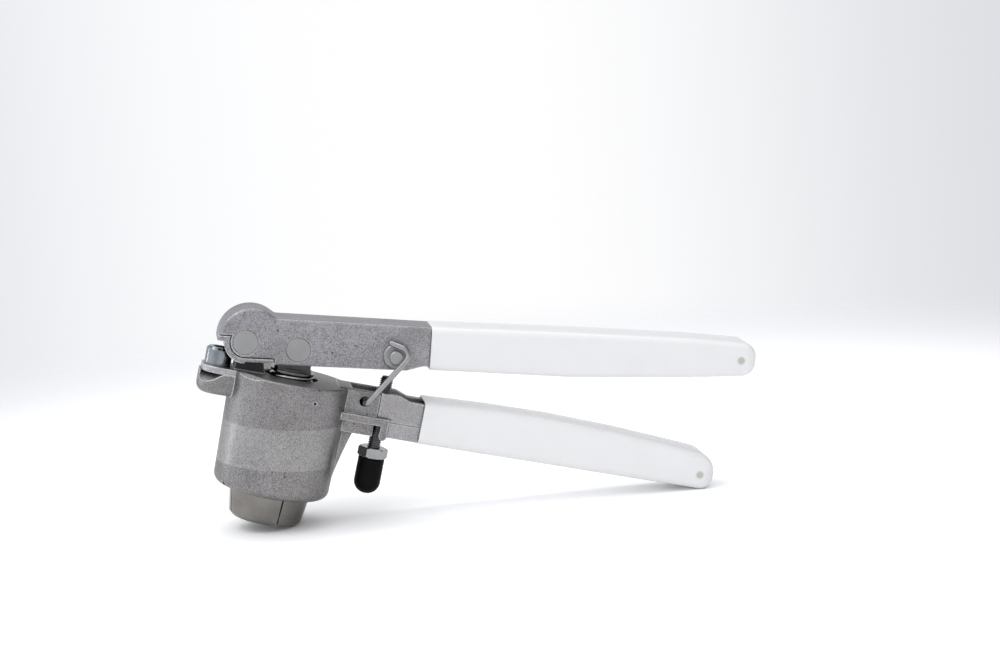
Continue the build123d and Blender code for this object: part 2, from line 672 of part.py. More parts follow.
def lower_grip():
    """Soft sleeve on the lower handle."""
    core = handle_core(lower_sleeve(GRIP_WALL), HANDLE_W, LOWER_GRIP_X)
    return sleeve(lower_sleeve(0), core, LOWER_GRIP_X)


def adjusting_screw():
    """Threaded stop screw through the bracket's boss."""
    screw = post(STOP_X, 0, STOP_R, STOP_END_Z, STOP_TIP_Z)
    return one(chamfer(screw.edges().group_by(Axis.Z)[-1], STOP_TIP_CHAMFER))


def lock_nut():
    """Hexagon nut on the stop screw, with its corners chamfered."""
    hexagon = Pos(STOP_X, 0, NUT_Z0) * RegularPolygon(NUT_AF / 2, 6, major_radius=False)
    nut = extrude(hexagon, amount=NUT_T)
    round_r = NUT_AF / 2 / cos(radians(30))
    blank = post(STOP_X, 0, round_r, NUT_Z0, NUT_Z0 + NUT_T)
    blank = chamfer(blank.edges().filter_by(GeomType.CIRCLE), 0.5)
    return one((nut & blank) - post(STOP_X, 0, STOP_R + RUN_FIT, NUT_Z0 - 1, NUT_Z0 + NUT_T + 1))


def screw_cap():
    """Soft cap over the stop screw's lower end."""
    top = NUT_Z0 - CAP_GAP
    cap = post(STOP_X, 0, CAP_R, CAP_BOTTOM_Z, top)
    cap = fillet(cap.edges().group_by(Axis.Z)[0], CAP_R * 0.8)
    return one(cap - post(STOP_X, 0, STOP_R, STOP_END_Z, top + 1))


def guide_bush():
    """Bush that guides the plunger and holds the spring's lower end."""
    bush = turned([
        (ROD_R + RUN_FIT, CAVITY_TOP_Z), (BUSH_BORE_R, CAVITY_TOP_Z), (BUSH_BORE_R, BUSH_Z1),
        (BUSH_POCKET_R, BUSH_Z1), (BUSH_POCKET_R, BUSH_FLOOR_Z), (ROD_R + RUN_FIT, BUSH_FLOOR_Z)])
    return one(bush - bush_pin_rod(HEAD_R_TOP))


def bush_pin():
    """Small pin that locks the guide bush in the head."""
    return one(bush_pin_rod(head_radius(BUSH_PIN_Z) - BUSH_PIN_R / 2))


def plunger():
    """Rod, shoulder and tang that the drive pin pushes down."""
    x, z = drive_pin_place()
    rod = post(0, 0, ROD_R, ROD_BOTTOM_Z, SHOULDER_Z)
    shoulder = post(0, 0, SHOULDER_R, SHOULDER_Z, SHOULDER_Z + SHOULDER_T)
    tang = rect_xz(-TANG_L / 2, TANG_L / 2, SHOULDER_Z, z)
    tang += disc_xz(x, z, TANG_EYE_R)
    body = rod + shoulder + across(tang, TANG_T)
    body -= pin_y(x, z, PIN_R + RUN_FIT, -TANG_T, TANG_T)
    body -= post(0, 0, PAD_SCREW_R, ROD_BOTTOM_Z - 1, ROD_BOTTOM_Z + PAD_SCREW_DEPTH)
    return one(body)


def spring_seat():
    """Washer that carries the spring under the plunger's shoulder."""
    outer = post(0, 0, SEAT_R, SHOULDER_Z - SEAT_T, SHOULDER_Z)
    return one(outer - post(0, 0, ROD_R, SHOULDER_Z - 2, SHOULDER_Z + 1))


def return_spring():
    """Coil between the bush and the seat washer."""
    z0 = BUSH_FLOOR_Z + SPRING_WIRE_R
    z1 = SHOULDER_Z - SEAT_T - SPRING_WIRE_R
    path = Pos(0, 0, z0) * Helix(pitch=(z1 - z0) / SPRING_TURNS, height=z1 - z0, radius=SPRING_R)
    start = Plane(origin=path @ 0, z_dir=path % 0)
    return one(sweep(start * Circle(SPRING_WIRE_R), path=path, is_frenet=True))


def expander_cone():
    """Cone that spreads the jaw tails."""
    slope = tan(radians(CONE_DEG))
    low_r = CONE_TOP_R - slope * (CONE_TOP_Z - CONE_BOTTOM_Z)
    return one(turned([
        (PAD_SCREW_R + 0.1, CONE_BOTTOM_Z), (low_r, CONE_BOTTOM_Z), (CONE_TOP_R, CONE_TOP_Z),
        (PAD_SCREW_R + 0.1, CONE_TOP_Z)]))


def pressure_pad():
    """Pad on a stem that bears on the cap while it is crimped."""
    pad = turned([
        (0, PAD_Z0), (PAD_R - 0.6, PAD_Z0), (PAD_R, PAD_Z0 + 0.6), (PAD_R, PAD_Z0 + PAD_T),
        (PAD_STEM_R, PAD_Z0 + PAD_T + 1.5), (PAD_STEM_R, CONE_BOTTOM_Z), (0, CONE_BOTTOM_Z)])
    pad -= post(0, 0, PAD_SCREW_R + 0.1, PAD_Z0 - 1, CONE_BOTTOM_Z + 1)
    return one(pad - post(0, 0, PAD_SCREW_HEAD_R + 0.1, PAD_Z0 - 1, PAD_Z0 + PAD_SCREW_HEAD_H + 0.2))


def pad_screw():
    """Long screw that clamps pad, cone and plunger together."""
    z = PAD_Z0 + PAD_SCREW_HEAD_H + 0.2
    head = post(0, 0, PAD_SCREW_HEAD_R, z - PAD_SCREW_HEAD_H, z)
    head -= Pos(0, 0, z - PAD_SCREW_HEAD_H) * Box(2 * PAD_SCREW_HEAD_R, 1.0, 1.6)
    return one(head + post(0, 0, PAD_SCREW_R, z - 0.1, ROD_BOTTOM_Z + PAD_SCREW_DEPTH - 1))


def jaw_ring():
    """Full ring of the collet before it is slit."""
    slope = tan(radians(CONE_DEG))
    contact_r = CONE_TOP_R + CONE_GAP / cos(radians(CONE_DEG)) - slope * (CONE_TOP_Z - JAW_TAIL_Z1)
    nose_r = contact_r - slope * JAW_CONTACT_L
    nose_z = JAW_TAIL_Z1 - JAW_CONTACT_L
    flange_z1 = JAW_FLANGE_Z0 + JAW_FLANGE_T
    groove_r = JAW_TAIL_R - GARTER_WIRE_R
    return turned([
        (JAW_MOUTH_R, 0), (RIM_R, 0), (JAW_R_LOW, JAW_LIP_CHAMFER), (JAW_R_TOP, HEAD_Z0),
        (JAW_R_TOP, JAW_FLANGE_Z0), (JAW_FLANGE_R, JAW_FLANGE_Z0), (JAW_FLANGE_R, flange_z1),
        (JAW_TAIL_R, flange_z1), (JAW_TAIL_R, GARTER_Z - GARTER_WIRE_R - 0.3),
        (groove_r, GARTER_Z - GARTER_WIRE_R - 0.3), (groove_r, GARTER_Z + GARTER_WIRE_R + 0.3),
        (JAW_TAIL_R, GARTER_Z + GARTER_WIRE_R + 0.3), (JAW_TAIL_R, JAW_TAIL_Z1),
        (contact_r, JAW_TAIL_Z1), (nose_r, nose_z), (JAW_CAVITY_R, nose_z - 2.5),
        (JAW_CAVITY_R, JAW_MOUTH_L + 0.6), (JAW_MOUTH_R, JAW_MOUTH_L)])


def jaw_angle(index):
    """Direction of a jaw's middle about the head's axis."""
    return -90 + JAW_CLOCK_DEG + (index + 0.5) * 360 / JAW_COUNT


def jaw(index):
    """One jaw: a sector of the ring, half a slit short on each side."""
    half = 180 / JAW_COUNT
    reach = 2 * JAW_FLANGE_R
    y = reach * tan(radians(half))
    setback = JAW_SLIT / 2 / sin(radians(half))
    wedge = Polyline((setback, 0), (setback + reach, -y), (setback + reach, y), close=True)
    sector = Pos(0, 0, -1) * extrude(make_face(wedge), amount=JAW_TAIL_Z1 + 2)
    return one(jaw_ring() & (Rot(0, 0, jaw_angle(index)) * sector))


def garter_spring():
    """Round spring in the groove of the jaw tails."""
    r = JAW_TAIL_R - GARTER_WIRE_R + GARTER_GAP + GARTER_WIRE_R
    return one(Pos(0, 0, GARTER_Z) * Torus(r, GARTER_WIRE_R))


def jaw_retainer():
    """Ring under the jaws' flanges."""
    ring = turned([
        (RETAINER_BORE_R, HEAD_Z0 + 0.1), (FLANGE_BORE_R, HEAD_Z0 + 0.1),
        (FLANGE_BORE_R, HEAD_Z0 + RETAINER_T), (RETAINER_BORE_R, HEAD_Z0 + RETAINER_T)])
    return one(ring - set_screw_ring(HEAD_R_TOP))


def retainer_screws():
    """Three set screws in the head's wall that hold the retainer."""
    return set_screw_ring(HEAD_R_BOTTOM - HEAD_BOTTOM_ROUND / 2)


def nodes():
    """Every sub-part by name, in the tool's own frame."""
    made = {
        "head_casting": head_casting(),
        "fulcrum_bracket": fulcrum_bracket(),
        "bracket_screw": bracket_screw(),
        "lower_handle": lower_handle(),
        "lower_grip": lower_grip(),
        "guide_bush": guide_bush(),
        "bush_pin": bush_pin(),
        "jaw_retainer": jaw_retainer(),
        "retainer_screws": retainer_screws(),
        "garter_spring": garter_spring(),
        "return_spring": return_spring(),
        "lever": lever(),
        "upper_grip": upper_grip(),
        "fulcrum_pin": fulcrum_pin(),
        "drive_pin": drive_pin(),
        "latch_pin": latch_pin(),
        "latch_hook": latch_hook(),
        "plunger": plunger(),
        "spring_seat": spring_seat(),
        "expander_cone": expander_cone(),
        "pressure_pad": pressure_pad(),
        "pad_screw": pad_screw(),
        "adjusting_screw": adjusting_screw(),
        "screw_cap": screw_cap(),
        "lock_nut": lock_nut(),
    }
    for index in range(JAW_COUNT):
        made[f"jaw_{index + 1}"] = jaw(index)
    return made


def rest_place(made):
    """Placement that lays the tool on the table, centred over the origin."""
    tilt = Rot(0, REST_TILT_DEG, 0)
    box = Compound(children=[tilt * shape for shape in made.values()]).bounding_box()
    middle = box.center()
    return Pos(-middle.X, -middle.Y, -box.min.Z) * tilt


def main():
    """Write one file per sub-part."""
    os.makedirs("parts", exist_ok=True)
    made = nodes()
    place = rest_place(made)
    for name, shape in made.items():
        export_step(place * shape, f"parts/{name}.step")


if __name__ == "__main__":
    main()
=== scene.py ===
"""Looks of a hand vial crimper: vinyl grips, threads, spring, metals, studio and camera."""
import json
import math

import bmesh
import bpy
from mathutils import Matrix, Vector


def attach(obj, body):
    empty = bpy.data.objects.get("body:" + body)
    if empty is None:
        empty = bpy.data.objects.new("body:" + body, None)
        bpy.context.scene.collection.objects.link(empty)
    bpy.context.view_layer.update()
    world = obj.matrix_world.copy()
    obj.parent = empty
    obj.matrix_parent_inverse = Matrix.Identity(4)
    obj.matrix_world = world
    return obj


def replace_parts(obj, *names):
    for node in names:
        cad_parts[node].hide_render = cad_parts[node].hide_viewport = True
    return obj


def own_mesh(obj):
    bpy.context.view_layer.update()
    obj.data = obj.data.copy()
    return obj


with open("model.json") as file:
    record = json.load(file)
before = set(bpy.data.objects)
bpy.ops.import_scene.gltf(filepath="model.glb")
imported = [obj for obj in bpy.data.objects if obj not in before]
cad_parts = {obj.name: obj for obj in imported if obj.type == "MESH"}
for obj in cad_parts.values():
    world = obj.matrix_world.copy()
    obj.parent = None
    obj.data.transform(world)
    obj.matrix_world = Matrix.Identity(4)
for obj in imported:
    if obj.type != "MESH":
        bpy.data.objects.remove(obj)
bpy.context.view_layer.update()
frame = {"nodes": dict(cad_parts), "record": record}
NODES = frame["nodes"]
MM = 0.001
MERGE = 0.002

# Camera, from the photograph: the jaw rim's centre shows at FRAME_U, FRAME_V of 1000 by 667
AZIMUTH = -7.81
ELEVATION = 9.42
ROLL = -3.74
DISTANCE = 872.7 * MM
FOCAL = 2.4
FRAME_W = 1000
FRAME_H = 667
FRAME_U = 264.3
FRAME_V = 517.6
SENSOR = 36.0

# The tool's own frame: the head's axis and the crimping mouth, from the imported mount
MOUTH = Vector(frame["record"]["mounts"][0]["pos_m"])
HEAD_UP = -Vector(frame["record"]["mounts"][0]["axis"]).normalized()
TILT = math.atan2(HEAD_UP.x, HEAD_UP.z)
TOOL = Matrix.Translation(MOUTH) @ Matrix.Rotation(TILT, 4, "Y") @ Matrix.Scale(MM, 4)

# Lever's own frame inside the tool's, in millimetres
FULCRUM = (-19.0, 0.0, 63.45)
LEVER_REST = math.radians(7.3)
LEVER = TOOL @ Matrix.Translation(FULCRUM) @ Matrix.Rotation(-LEVER_REST, 4, "Y")

# Grips, in millimetres: outlines from the mouth to the end, then the end's two corner radii
GRIP_WIDTH = 19.8
GRIP_EDGE = 2.8
GRIP_STATION = 5.0
GRIP_BLANK = 16.0
UPPER_TOP = ((66.3, 8.95), (118.3, 9.45), (164.0, 9.45), (187.1, 8.5))
UPPER_LOW = ((66.3, -6.95), (118.3, -7.15), (164.0, -5.05), (187.1, -3.4))
LOWER_TOP = ((48.6, 53.3), (72.0, 54.45), (95.0, 54.9), (122.0, 54.2), (149.0, 52.5),
             (159.6, 51.45))
LOWER_LOW = ((48.6, 37.7), (159.6, 38.87))
UPPER_CORNERS = (5.2, 5.2)
LOWER_CORNERS = (6.8, 5.0)
END_PLAN_R = 3.6

# Sleeve's mouth: inset and run of each step inwards, and the rim's rounding
MOUTH_STEPS = ((0.75, 0.0), (0.45, 3.0), (0.0, 4.0))
MOUTH_ROUND = 0.35

# Drain marks on the sleeves' near sides: fore and up in the tool's frame, and the rim's radii
UPPER_MARK = (160.2, 88.7)
LOWER_MARK = (153.9, 44.3)
MARK_RIM = (0.85, 1.90)

# Stop screw: its thread's form, and the run-out and chamfer at its tip
STOP_X = 34.3
THREAD_R = 2.4
THREAD_ROOT = 1.93
PITCH = 0.794
CREST_HALF = 0.09
ROOT_START = 0.36
ROOT_END = 0.43
THREAD_FOOT = 21.0
THREAD_TURNS = 47
THREAD_STEPS = 20
THREAD_MERGE = 0.005
CORE_FOOT = 20.0
TIP_Z = 59.0
TIP_RUN_OUT = 0.9
TIP_TAPER = 1.3
TIP_CHAMFER = 0.35
TIP_CHAMFER_H = 0.45
TIP_UNDER = 0.05

# Cap of the stop screw: its wall from the bore outwards, as radius and depth below its mouth
CAP_R = 4.8
CAP_TOP = 28.6
CAP_DOME = 4.5
CAP_BOTTOM = 15.2
CAP_STEPS = 40
CAP_WALL = ((THREAD_ROOT, 3.0), (THREAD_R + 0.05, 2.6), (THREAD_R + 0.05, 0.3),
            (THREAD_R + 0.35, 0.0), (CAP_R - 0.35, 0.0), (CAP_R - 0.08, 0.12), (CAP_R, 0.4),
            (CAP_R, 2.0), (CAP_R - 0.1, 2.3), (CAP_R, 2.6), (CAP_R, 6.0))

# Wire latch: corners of its path and their bend radii
LATCH_WIRE_R = 1.02
LATCH_PATH = ((26.9, -3.2, 49.75), (26.9, -14.3, 49.75), (38.97, -14.3, 69.2),
              (36.87, -13.5, 71.8), (31.27, -11.8, 72.8))
LATCH_BENDS = (1.6, 2.7, 3.1)
LATCH_SIDES = 20
LATCH_END_ROUND = 0.3
BEND_STEPS = 10

# Return spring
SPRING_R = 7.25
WIRE_R = 0.8
SPRING_Z0 = 45.8
SPRING_Z1 = 53.8
CLOSED_PITCH = 1.66
ACTIVE_TURNS = 2
COIL_START_DEG = -14.0
COIL_STEPS = 48
COIL_SIDES = 12
COIL_TIP = (0.35, 0.3, 0.0)

# Edges of the head's smooth band and of the painted shadow on the bracket's tongue, fore and up,
# in millimetres
BAND_SLOPE = 0.13
BAND_LOW = (21.6, 22.0)
BAND_HIGH = (36.7, 37.1)
BAND_BACK = (-25.0, -23.0)
BAND_FORE = (20.5, 22.5)
TONGUE_LOW = (52.95, 53.5)
TONGUE_HIGH = (60.0, 61.0)
TONGUE_BACK = (-24.0, -22.0)

# Castings and turned parts: radius of the eased edges, which carry painted highlight and wear,
# reach of the painted shade in crevices, and depth of grain
CAST_EDGE = 0.75
CAST_SHADE_REACH = 7.0
CAST_GRAIN = 0.10
TURNED_EDGE = 0.22
TURNED_SHADE_REACH = 2.0
TURNED_GRAIN = 0.02
VINYL_GRAIN = 0.12

# Lamps, in metres and watts: place, target, size, power and colour
LAMPS = {
    "key": ((-0.45, -0.30, 0.80), (0.0, 0.0, 0.03), (0.45, 0.45), 1.15, (1.0, 1.0, 1.0)),
    "overhead": ((0.0, 0.10, 0.62), (0.0, 0.0, 0.05), (0.6, 0.08), 0.55, (1.0, 1.0, 1.0)),
    "strip": ((-0.72, 0.22, 0.15), (-0.05, 0.0, 0.04), (0.02, 0.30), 0.24, (0.94, 0.98, 1.0))}

# Floor, in metres: its half side, and how its tone, its extra light and its cover fade outwards
FLOOR_HALF = 3.0
FLOOR_MIDDLE = (0.02, 0.0, 0.0)
FLOOR_TONE = (0.26, 0.44)
FLOOR_LIGHT = (0.12, 0.40)
FLOOR_COVER = (0.26, 0.50)


class Value:
    """A shader socket with arithmetic."""

    def __init__(self, graph, socket):
        self.graph = graph
        self.socket = socket

    def _math(self, operation, *others, flip=False):
        parts = [self, *others]
        if flip:
            parts = parts[::-1]
        return self.graph.node("Math", {i: part for i, part in enumerate(parts)},
                               operation=operation)

    def __add__(self, other):
        return self._math("ADD", other)

    def __radd__(self, other):
        return self._math("ADD", other)

    def __sub__(self, other):
        return self._math("SUBTRACT", other)

    def __rsub__(self, other):
        return self._math("SUBTRACT", other, flip=True)

    def __mul__(self, other):
        return self._math("MULTIPLY", other)

    def __rmul__(self, other):
        return self._math("MULTIPLY", other)

    def least(self, other):
        return self._math("MINIMUM", other)

    def most(self, other):
        return self._math("MAXIMUM", other)

    def size(self):
        return self._math("ABSOLUTE")

    def step(self, low, high, to_low=0.0, to_high=1.0):
        """Smooth step of the value from one range to another."""
        return self.graph.node("MapRange", {0: self, 1: low, 2: high, 3: to_low, 4: to_high},
                               interpolation_type="SMOOTHSTEP")


class Graph:
    """Node tree with a generic method to add a linked node."""

    def __init__(self, tree):
        self.tree = tree
        tree.nodes.clear()

    def node(self, kind, inputs=None, out=0, **settings):
        made = self.tree.nodes.new("ShaderNode" + kind)
        for name, value in settings.items():
            setattr(made, name, value)
        for key, value in (inputs or {}).items():
            if isinstance(value, Value):
                self.tree.links.new(value.socket, made.inputs[key])
            else:
                made.inputs[key].default_value = value
        return Value(self, made.outputs[out] if len(made.outputs) else None)

    def mix(self, factor, first, second):
        return self.node("Mix", {0: factor, 6: first, 7: second}, out=2, data_type="RGBA")

    def noise(self, where, scale, detail, rough):
        return self.node("TexNoise", {"Vector": where, "Scale": scale, "Detail": detail,
                                      "Roughness": rough})

    def parts(self, vector):
        """The three coordinates of a vector."""
        split = self.node("SeparateXYZ", {0: vector})
        sockets = self.tree.nodes[-1].outputs
        return split, Value(self, sockets[1]), Value(self, sockets[2])

    def in_tool(self, where):
        """Object coordinates in the tool's own frame, in millimetres."""
        return self.node("Mapping", {"Vector": where, "Location": tuple(MOUTH),
                                     "Rotation": (0.0, TILT, 0.0), "Scale": (MM, MM, MM)},
                         vector_type="TEXTURE")

    def scaled(self, where, scale):
        """Coordinates scaled apart along the three axes."""
        return self.node("VectorMath", {0: where, 1: scale}, operation="MULTIPLY")

    def distance(self, where, point):
        return self.node("VectorMath", {0: where, 1: point}, out=1, operation="DISTANCE")

    def surface(self, shader, kind="Material"):
        self.node("Output" + kind, {"Surface": shader})


def tone(value, tint=(1.0, 1.0, 1.0)):
    """Linear colour from a display grey level of 0 to 255 and a tint."""
    level = value / 255
    linear = level / 12.92 if level < 0.04045 else ((level + 0.055) / 1.055) ** 2.4
    return (linear * tint[0], linear * tint[1], linear * tint[2], 1.0)


def new_material(name):
    material = bpy.data.materials.new(name)
    material.use_nodes = True
    return material, Graph(material.node_tree)


def cast_shade(g, where):
    """Grain, mottling and clouds of a bead-blasted casting, as a share and a height."""
    grain = g.noise(where, 2300.0, 2.0, 0.6)
    mottle = g.noise(where, 620.0, 3.0, 0.6)
    cloud = g.noise(where, 95.0, 3.0, 0.55)
    shade = (grain - 0.5) * 2.0 + (mottle - 0.5) * 0.4 + (cloud - 0.5) * 0.5 + 0.5
    return shade.most(0.0).least(1.0), grain * 0.6 + mottle * 0.4, mottle


def edge_highlight_and_wear(g, radius):
    """Eased normal of a piece, and a mask on its edges for painted highlight and wear."""
    soft = g.node("Bevel", {"Radius": radius * MM}, samples=6)
    flat = g.node("NewGeometry", out=1)
    turn = g.node("VectorMath", {0: soft, 1: flat}, out=1, operation="DOT_PRODUCT")
    return soft, (1.0 - turn).step(0.01, 0.13)


def crevice_shade(g, reach):
    """How enclosed a place is, as the share of painted shade in crevices and between parts."""
    open_share = g.node("AmbientOcclusion", {"Distance": reach * MM}, out=1, samples=6)
    return open_share.step(0.15, 0.72, 1.0, 0.0)


def cast_metal(name, tint, lift, banded=False, shaded_tongue=False):
    """Bead-blasted casting: banded has the head's smooth middle; the tongue option paints shadow
    on the bracket's tongue.
    """
    material, g = new_material(name)
    where = g.node("TexCoord", out=3)
    shade, height, mottle = cast_shade(g, where)
    colour = g.mix(shade, tone(110 + lift, tint), tone(186 + lift, tint))
    tinge = g.noise(where, 60.0, 2.0, 0.5).step(0.54, 0.74)
    colour = g.mix(tinge * 0.4, colour, tone(140 + lift, (1.07, 0.98, 0.96)))
    pits = g.noise(where, 640.0, 1.0, 0.4).step(0.735, 0.775)
    rough = (mottle - 0.5) * 0.16 + 0.42
    fore, _, up = g.parts(g.in_tool(where))
    if banded:
        level = up - fore * BAND_SLOPE
        band = level.step(*BAND_LOW) * level.step(*BAND_HIGH, 1.0, 0.0)
        band = band * fore.step(*BAND_BACK) * fore.step(*BAND_FORE, 1.0, 0.0)
        light = g.mix(shade, tone(125, (1.015, 0.993, 0.995)), tone(190, (1.02, 0.993, 0.985)))
        colour = g.mix(band * 0.85, colour, light)
        pits = pits * (1.0 - band)
        rough = rough - band * 0.05
        height = height * (1.0 - band * 0.45)
    if shaded_tongue:
        # Painted shadow: the bracket's tongue under the lever, between these heights and behind
        # this point, is coloured near-black.
        tongue_shadow = up.step(*TONGUE_LOW) * up.step(*TONGUE_HIGH, 1.0, 0.0)
        tongue_shadow = tongue_shadow * fore.step(*TONGUE_BACK)
        colour = g.mix(tongue_shadow * 0.85, colour, tone(34))
        rough = rough + tongue_shadow * 0.15
    soft, highlit_and_worn = edge_highlight_and_wear(g, CAST_EDGE)
    # Painted highlight: eased edges are lightened towards near-white where the grain stands
    # high, partly also edge wear.
    colour = g.mix((highlit_and_worn * (height * 2.6 - 0.4)).most(0.0).least(1.0), colour, tone(240))
    # Painted shade: places enclosed by nearby surfaces, found by ambient occlusion, are
    # darkened.
    colour = g.mix(crevice_shade(g, CAST_SHADE_REACH) * 0.72, colour, tone(40, (1.0, 0.99, 1.0)))
    colour = g.mix(pits * 0.7, colour, tone(60))
    bump = g.node("Bump", {"Strength": 0.35, "Distance": CAST_GRAIN * MM,
                           "Height": height - pits * 1.2, "Normal": soft})
    g.surface(g.node("BsdfPrincipled", {"Base Color": colour, "Metallic": 0.92,
                                        "Roughness": rough, "Normal": bump}))
    return material


def turned_metal(name, low, high, tint, rough, streak):
    """Turned or plated metal with fine streaks along the tool's directions."""
    material, g = new_material(name)
    where = g.node("TexCoord", out=3)
    placed = g.in_tool(where)
    lines = g.noise(g.scaled(placed, streak), 1.0, 3.0, 0.6)
    cloud = g.noise(where, 130.0, 3.0, 0.5)
    shade = ((lines - 0.5) * 0.55 + (cloud - 0.5) * 0.7 + 0.5).most(0.0).least(1.0)
    colour = g.mix(shade, tone(low, tint), tone(high, tint))
    roughness = (lines - 0.5) * 0.14 + rough
    soft, highlit_and_worn = edge_highlight_and_wear(g, TURNED_EDGE)
    # Painted highlight on the eased edges, partly also edge wear.
    colour = g.mix(highlit_and_worn * 0.5, colour, tone(min(high + 40, 240), tint))
    # Painted shade: enclosed places are darkened.
    colour = g.mix(crevice_shade(g, TURNED_SHADE_REACH) * 0.5, colour, tone(low * 0.4))
    bump = g.node("Bump", {"Strength": 0.12, "Distance": TURNED_GRAIN * MM, "Height": lines,
                           "Normal": soft})
    g.surface(g.node("BsdfPrincipled", {"Base Color": colour, "Metallic": 1.0,
                                        "Roughness": roughness, "Normal": bump}))
    return material


def vinyl(name, base, dull, rough, coat, gloss, mark_at=None):
    """Dipped vinyl: gloss with faint waves, specks and, if placed, a drain mark."""
    material, g = new_material(name)
    where = g.node("TexCoord", out=3)
    waves = g.noise(where, 70.0, 2.0, 0.5)
    fine = g.noise(where, 900.0, 3.0, 0.6)
    specks = g.noise(where, 520.0, 1.0, 0.4).step(0.74, 0.79)
    colour = g.mix((waves - 0.5).size() * 0.5, base, dull)
    colour = g.mix(specks * 0.3, colour, dull)
    height = waves * 0.8 + fine * 0.2
    if mark_at:
        fore, across, up = g.parts(g.in_tool(where))
        flat = g.node("CombineXYZ", {0: fore, 1: 0.0, 2: up})
        spot = g.distance(flat, (mark_at[0], 0.0, mark_at[1])).step(*MARK_RIM, 1.0, 0.0)
        spot = spot * across.step(-1.0, 0.0, 1.0, 0.0)
        colour = g.mix(spot, colour, tone(196, (0.99, 1.0, 0.90)))
        height = height - spot * 2.0
    roughness = (fine - 0.5) * 0.08 + (waves - 0.5) * 0.10 + rough
    bump = g.node("Bump", {"Strength": 0.25, "Distance": VINYL_GRAIN * MM,
                           "Height": height})
    g.surface(g.node("BsdfPrincipled", {
        "Base Color": colour, "Roughness": roughness, "Normal": bump, "Coat Weight": coat,
        "Coat Roughness": 0.1, "Specular IOR Level": gloss}))
    return material


def floor_material():
    """Pale paper, lit more for the camera, that fades into the background further out."""
    material, g = new_material("studio_floor")
    where = g.node("TexCoord", out=3)
    away = g.distance(where, FLOOR_MIDDLE)
    colour = g.mix(away.step(*FLOOR_TONE), tone(250), tone(240, (0.97, 0.98, 1.02)))
    paper = g.node("BsdfPrincipled", {"Base Color": colour, "Roughness": 0.6,
                                      "Specular IOR Level": 0.2})
    seen = g.node("LightPath")
    near = away.step(*FLOOR_LIGHT, 1.0, 0.35)
    extra = g.node("BsdfDiffuse", {"Color": g.mix(seen * near, tone(0), tone(150))})
    lifted = g.node("AddShader", {0: paper, 1: extra})
    clear = g.node("BsdfTransparent", {0: (1.0, 1.0, 1.0, 1.0)})
    g.surface(g.node("MixShader", {0: away.step(*FLOOR_COVER), 1: lifted, 2: clear}))
    return material


def paint_nodes():
    """Gives every carried-over part its material, and returns those of the modelled pieces."""
    cast = cast_metal("lever_metal", (0.99, 0.985, 1.035), lift=3.0)
    head = cast_metal("head_metal", (1.03, 0.995, 0.995), lift=-13.0, banded=True)
    # The bracket carries the painted shadow on its tongue.
    bracket = cast_metal("bracket_metal", (0.99, 0.985, 1.03), lift=23.0, shaded_tongue=True)
    handle = cast_metal("handle_metal", (1.0, 0.99, 1.02), lift=17.0)
    nickel = turned_metal("nickel_plate", 94, 158, (1.05, 1.0, 0.925), 0.17, (0.6, 0.6, 9.0))
    rod = turned_metal("rod_steel", 56, 104, (1.0, 1.0, 1.02), 0.34, (0.6, 0.6, 6.0))
    pin = turned_metal("pin_end", 140, 184, (1.0, 1.0, 1.0), 0.42, (3.0, 0.5, 6.0))
    zinc = turned_metal("zinc_plate", 112, 190, (0.92, 1.0, 1.07), 0.20, (2.0, 2.0, 0.5))
    bright = turned_metal("bright_steel", 122, 194, (0.995, 1.0, 1.01), 0.15, (1.0, 1.0, 3.0))
    thread = turned_metal("thread_steel", 70, 140, (1.0, 0.99, 1.0), 0.30, (2.0, 2.0, 4.0))
    dark = turned_metal("dark_steel", 34, 84, (1.0, 1.0, 1.03), 0.34, (2.0, 2.0, 4.0))
    bronze = turned_metal("bronze", 96, 150, (1.12, 0.97, 0.70), 0.34, (2.0, 2.0, 4.0))
    upper = vinyl("white_vinyl_upper", tone(243), tone(224), 0.24, 0.4, 0.4, UPPER_MARK)
    lower = vinyl("white_vinyl_lower", tone(243), tone(224), 0.24, 0.4, 0.4, LOWER_MARK)
    black = vinyl("black_vinyl", tone(10), tone(20), 0.52, 0.0, 0.10)
    chosen = {
        "head_casting": head, "fulcrum_bracket": bracket, "lower_handle": handle, "lever": cast,
        "bracket_screw": zinc, "guide_bush": bronze, "bush_pin": dark, "jaw_retainer": nickel,
        "retainer_screws": dark, "garter_spring": bright, "return_spring": bright,
        "fulcrum_pin": pin, "drive_pin": pin, "latch_pin": pin, "latch_hook": bright,
        "spring_seat": nickel, "plunger": rod, "expander_cone": dark, "pad_screw": dark,
        "adjusting_screw": dark, "screw_cap": black, "lock_nut": bright,
        "lower_grip": lower, "upper_grip": upper}
    for name, node in NODES.items():
        node.data.materials.clear()
        node.data.materials.append(chosen.get(name, nickel))
    return {"bright": bright, "thread": thread, "upper": upper, "lower": lower, "black": black}


def finished(name, builder, place, material):
    """Mesh object from a piece that was built in millimetres, with smooth shading."""
    bmesh.ops.transform(builder, matrix=place, verts=builder.verts)
    bmesh.ops.recalc_face_normals(builder, faces=builder.faces)
    mesh = bpy.data.meshes.new(name)
    builder.to_mesh(mesh)
    builder.free()
    mesh.materials.append(material)
    mesh.shade_smooth()
    made = bpy.data.objects.new(name, mesh)
    bpy.context.scene.collection.objects.link(made)
    return made


def height_at(outline, x):
    """Height of an outline at a place along it."""
    for (x0, z0), (x1, z1) in zip(outline, outline[1:]):
        if x <= x1:
            return z0 + (z1 - z0) * (x - x0) / (x1 - x0)
    return outline[-1][1]


def rounding(x, end, radius):
    """How far a rounded corner pulls an edge in at a place near the end."""
    into = max(0.0, x - (end - radius)) / radius
    return radius * (1.0 - math.sqrt(max(0.0, 1.0 - into * into)))


